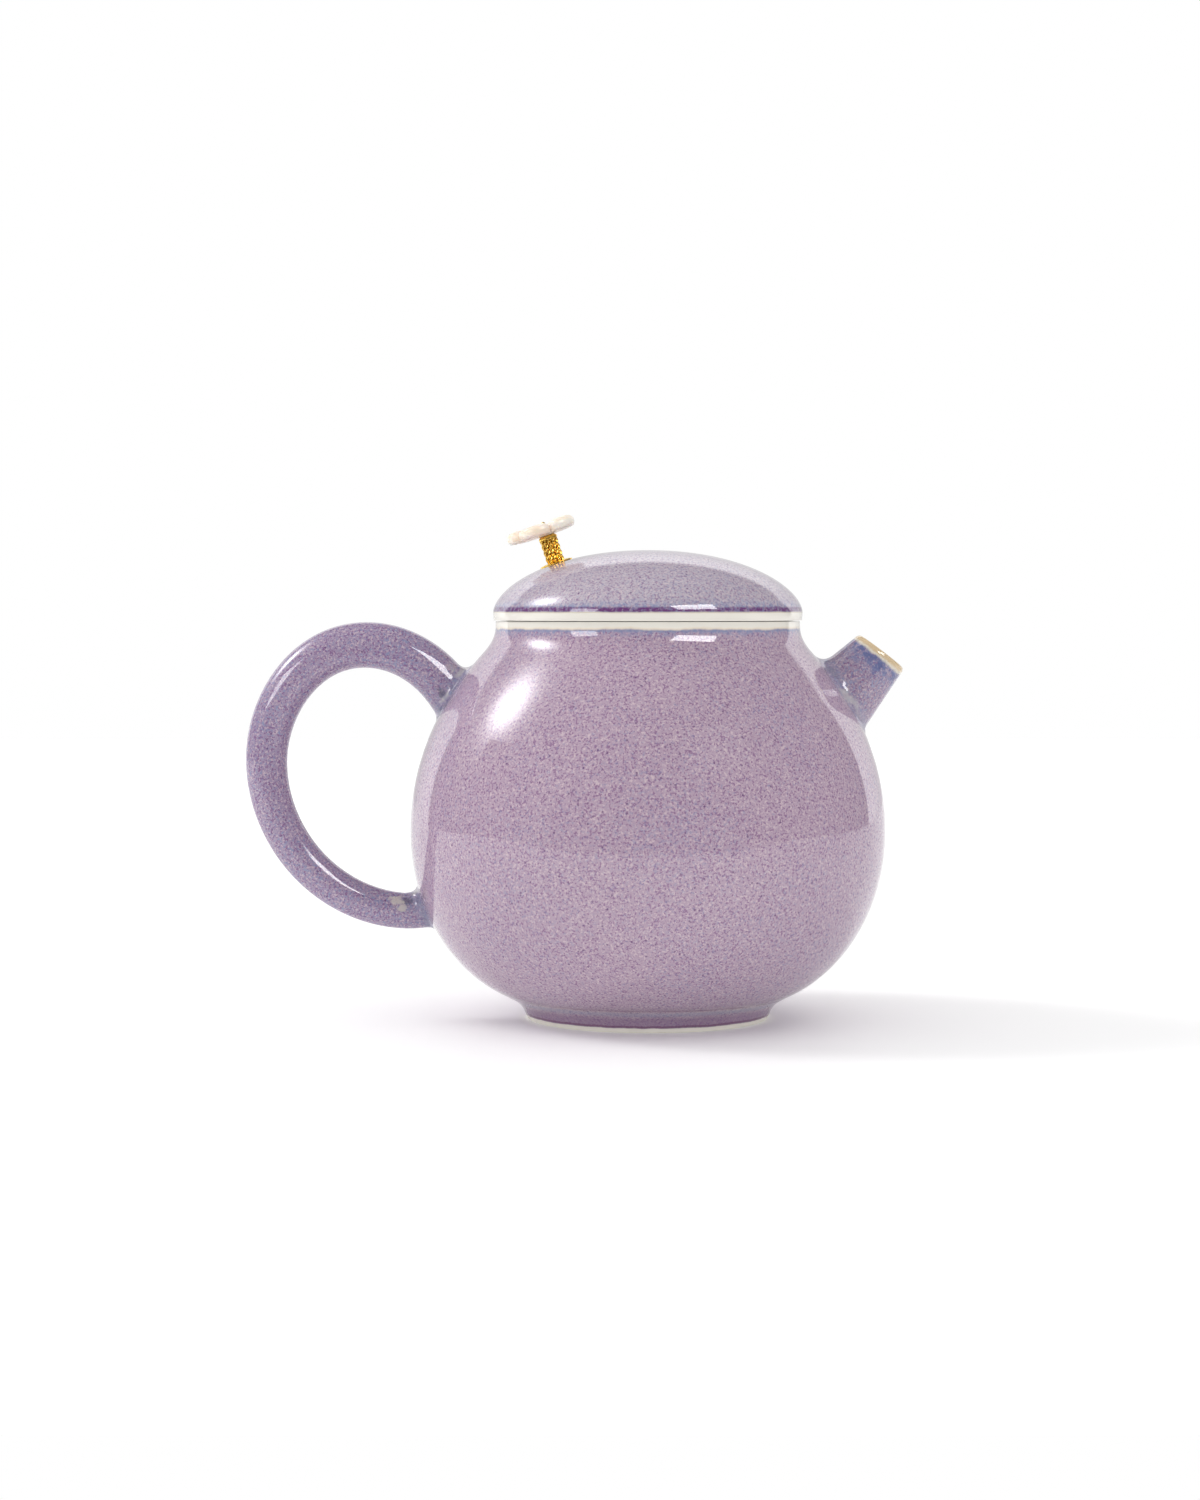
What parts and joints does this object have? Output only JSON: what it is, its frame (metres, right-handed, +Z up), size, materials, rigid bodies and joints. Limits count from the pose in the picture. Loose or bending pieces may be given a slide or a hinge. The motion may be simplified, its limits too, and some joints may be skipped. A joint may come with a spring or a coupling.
{
  "type": "teapot",
  "caption": "Small round glazed porcelain teapot with a loop handle, a short straight spout, a domed lid and an off-centre brass post knob that carries a shell flower.",
  "frame": {"origin": "centre of the foot ring, on the surface that the pot stands on", "axes": "+Z up, +X from the handle towards the spout, +Y completes the right-handed frame"},
  "size_m": [0.1268, 0.0916, 0.0969],
  "materials": {
    "glazed_porcelain": "high gloss mauve glaze with a fine plum and blue speckle, white where it runs thin on the lip, the rim and the foot",
    "gold_brass": "polished",
    "mother_of_pearl": "carved and polished shell with a pearly sheen",
    "stainless": "turned",
    "silicone": "matt translucent white"
  },
  "bodies": {
    "pot": {"pot_shell": "glazed_porcelain", "foot_ring": "glazed_porcelain", "handle": "glazed_porcelain", "spout": "glazed_porcelain", "ball_strainer": "glazed_porcelain"},
    "lid": {"lid_dome": "glazed_porcelain", "lid_flange": "glazed_porcelain", "knob_base_plate": "gold_brass", "knob_tube": "gold_brass", "knob_rope_wires": "gold_brass", "knob_top_cup": "gold_brass", "shell_flower": "mother_of_pearl", "flower_pin": "gold_brass", "knob_stud": "stainless", "lid_gasket": "silicone", "lid_washer": "stainless", "lid_nut": "stainless"}
  },
  "joints": [
    {"name": "lid_lift", "type": "slide", "parent": "pot", "child": "lid", "axis": [0, 0, 1], "range_m": [0, 0.06]}
  ]
}
